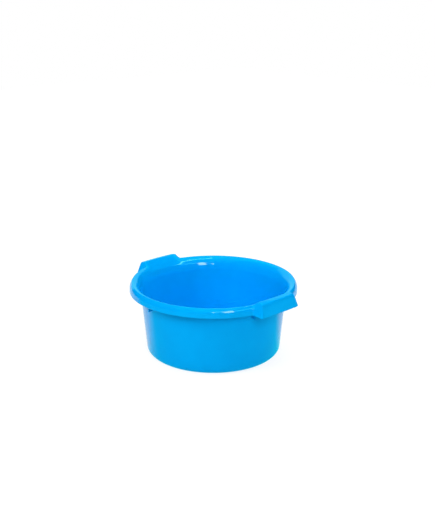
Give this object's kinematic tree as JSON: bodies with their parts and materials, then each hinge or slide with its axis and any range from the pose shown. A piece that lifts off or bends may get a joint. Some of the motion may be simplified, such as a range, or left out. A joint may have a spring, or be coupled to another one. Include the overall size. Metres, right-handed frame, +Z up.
{
  "type": "washing-up basin",
  "caption": "Round plastic washing-up basin with a flared rim, a turned-down skirt and two raised scoop handles.",
  "frame": {"origin": "middle of the underside, on the plane that the foot ring stands on", "axes": "+Z up along the bowl's axis; +X through the middle of one handle, so the two handles lie at the ends of X; +Y level, square to the handles"},
  "size_m": [0.392, 0.36, 0.1646],
  "materials": {
    "basin": "gloss blue injection-moulded polypropylene"
  },
  "bodies": {
    "root": {"basin": "basin"}
  },
  "joints": []
}
